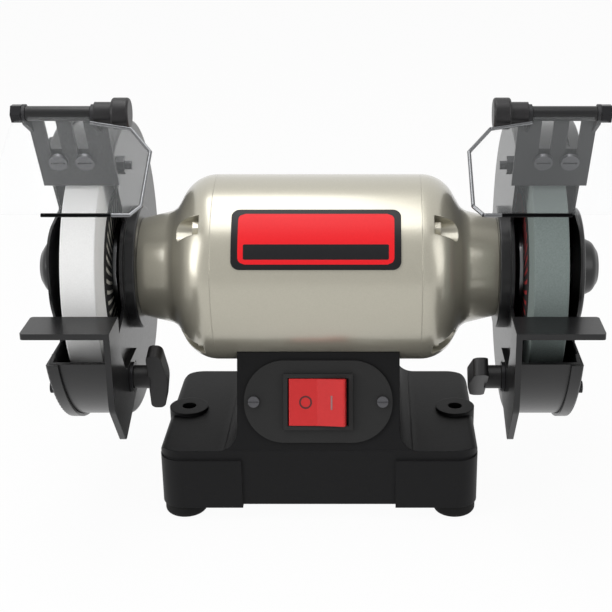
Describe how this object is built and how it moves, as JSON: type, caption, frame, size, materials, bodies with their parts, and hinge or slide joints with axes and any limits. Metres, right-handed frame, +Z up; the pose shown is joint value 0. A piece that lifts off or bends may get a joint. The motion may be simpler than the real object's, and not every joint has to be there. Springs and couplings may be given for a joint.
{
  "type": "bench grinder",
  "caption": "Double-ended bench grinder: motor on a cast base drives abrasive wheels in guards with adjustable tool rests, spark plates and clear eye shields.",
  "frame": {"origin": "on the bench plane under the middle of the overall box", "axes": "+X to the operator's right along the spindle, -Y towards the operator, +Z up"},
  "size_m": [0.345, 0.238, 0.2663],
  "materials": {
    "base_black": "black enamel",
    "guard_black": "semi-gloss black paint",
    "motor_grey": "champagne grey metallic paint",
    "steel": "zinc plated",
    "dark_steel": "dark grey coating",
    "chrome_wire": "polished",
    "rubber": "moulded",
    "black_plastic": "moulded",
    "red_plastic": "moulded",
    "white_abrasive": "vitrified aluminium oxide",
    "grey_abrasive": "vitrified silicon carbide",
    "blotter_paper": "printed",
    "label_sheet": "printed",
    "lens_clear": "clear sheet",
    "copper_coil": "varnished",
    "lamination": "stacked"
  },
  "bodies": {
    "stand": {"base_casting": "base_black", "pedestal_casting": "base_black", "bottom_cover": "steel", "rubber_feet": "rubber", "foot_screws": "steel", "capacitor": "steel", "terminal_block": "black_plastic", "cord_gland": "black_plastic", "switch_plate": "black_plastic", "switch_plate_screws": "steel", "switch_housing": "black_plastic", "motor_barrel": "motor_grey", "end_bell_left": "motor_grey", "end_bell_right": "motor_grey", "tie_bolts": "steel", "saddle_bolts": "steel", "name_plate": "label_sheet", "stator_core": "lamination", "stator_windings": "copper_coil", "bearing_outer_rings": "steel", "guard_drum_left": "guard_black", "guard_drum_right": "guard_black", "guard_cover_left": "guard_black", "guard_cover_right": "guard_black", "guard_cover_screws": "steel", "guard_drum_screws": "steel", "rest_bolts": "steel", "shield_bracket_left": "dark_steel", "shield_bracket_right": "dark_steel", "bracket_bolts": "steel", "spark_plate_screws": "steel"},
    "rocker": {"switch_rocker": "red_plastic"},
    "rotor": {"shaft": "steel", "rotor_core": "lamination", "bearing_inner_rings": "steel", "wheel_left": "white_abrasive", "wheel_right": "grey_abrasive", "wheel_blotters": "blotter_paper", "inner_flanges": "steel", "outer_flanges": "steel", "spindle_nuts": "steel"},
    "rest_slider_left": {"rest_slider_left": "steel"},
    "tool_rest_left": {"tool_rest_left": "guard_black"},
    "rest_knob_left": {"rest_knob_left": "black_plastic"},
    "spark_plate_left": {"spark_plate_left": "dark_steel", "pivot_bolt_left": "steel"},
    "eye_shield_left": {"shield_sleeve_left": "black_plastic", "shield_lens_left": "lens_clear", "shield_wire_left": "chrome_wire"},
    "shield_knob_left": {"shield_knob_left": "black_plastic"},
    "rest_slider_right": {"rest_slider_right": "steel"},
    "tool_rest_right": {"tool_rest_right": "guard_black"},
    "rest_knob_right": {"rest_knob_right": "black_plastic"},
    "spark_plate_right": {"spark_plate_right": "dark_steel", "pivot_bolt_right": "steel"},
    "eye_shield_right": {"shield_sleeve_right": "black_plastic", "shield_lens_right": "lens_clear", "shield_wire_right": "chrome_wire"},
    "shield_knob_right": {"shield_knob_right": "black_plastic"}
  },
  "joints": [
    {"name": "spindle_spin", "type": "hinge", "parent": "stand", "child": "rotor", "pos_m": [0, 0.0262, 0.145], "axis": [1, 0, 0], "continuous": true},
    {"name": "switch_rock", "type": "hinge", "parent": "stand", "child": "rocker", "pos_m": [0, -0.02739, 0.07706], "axis": [0, 0.3197, 0.9475], "range_deg": [0, 18]},
    {"name": "rest_tilt_left", "type": "hinge", "parent": "stand", "child": "rest_slider_left", "pos_m": [-0.112, -0.0258, 0.093], "axis": [1, 0, 0], "range_deg": [0, 15]},
    {"name": "rest_slide_left", "type": "slide", "parent": "rest_slider_left", "child": "tool_rest_left", "axis": [0, -1, 0], "range_m": [0, 0.012]},
    {"name": "rest_knob_turn_left", "type": "hinge", "parent": "stand", "child": "rest_knob_left", "pos_m": [-0.112, -0.0258, 0.093], "axis": [1, 0, 0], "range_deg": [-180, 180]},
    {"name": "spark_slide_left", "type": "slide", "parent": "stand", "child": "spark_plate_left", "axis": [0, -0.4571, 0.8894], "range_m": [-0.002, 0]},
    {"name": "shield_tilt_left", "type": "hinge", "parent": "spark_plate_left", "child": "eye_shield_left", "pos_m": [-0.134, -0.04873, 0.2578], "axis": [-1, 0, 0], "range_deg": [-10, 80]},
    {"name": "shield_knob_turn_left", "type": "hinge", "parent": "spark_plate_left", "child": "shield_knob_left", "pos_m": [-0.105, -0.04873, 0.2578], "axis": [1, 0, 0], "range_deg": [-180, 180]},
    {"name": "rest_tilt_right", "type": "hinge", "parent": "stand", "child": "rest_slider_right", "pos_m": [0.112, -0.0258, 0.093], "axis": [1, 0, 0], "range_deg": [0, 15]},
    {"name": "rest_slide_right", "type": "slide", "parent": "rest_slider_right", "child": "tool_rest_right", "axis": [0, -1, 0], "range_m": [0, 0.012]},
    {"name": "rest_knob_turn_right", "type": "hinge", "parent": "stand", "child": "rest_knob_right", "pos_m": [0.112, -0.0258, 0.093], "axis": [1, 0, 0], "range_deg": [-180, 180]},
    {"name": "spark_slide_right", "type": "slide", "parent": "stand", "child": "spark_plate_right", "axis": [0, -0.4571, 0.8894], "range_m": [-0.002, 0]},
    {"name": "shield_tilt_right", "type": "hinge", "parent": "spark_plate_right", "child": "eye_shield_right", "pos_m": [0.134, -0.04873, 0.2578], "axis": [-1, 0, 0], "range_deg": [-10, 80]},
    {"name": "shield_knob_turn_right", "type": "hinge", "parent": "spark_plate_right", "child": "shield_knob_right", "pos_m": [0.105, -0.04873, 0.2578], "axis": [1, 0, 0], "range_deg": [-180, 180]}
  ]
}
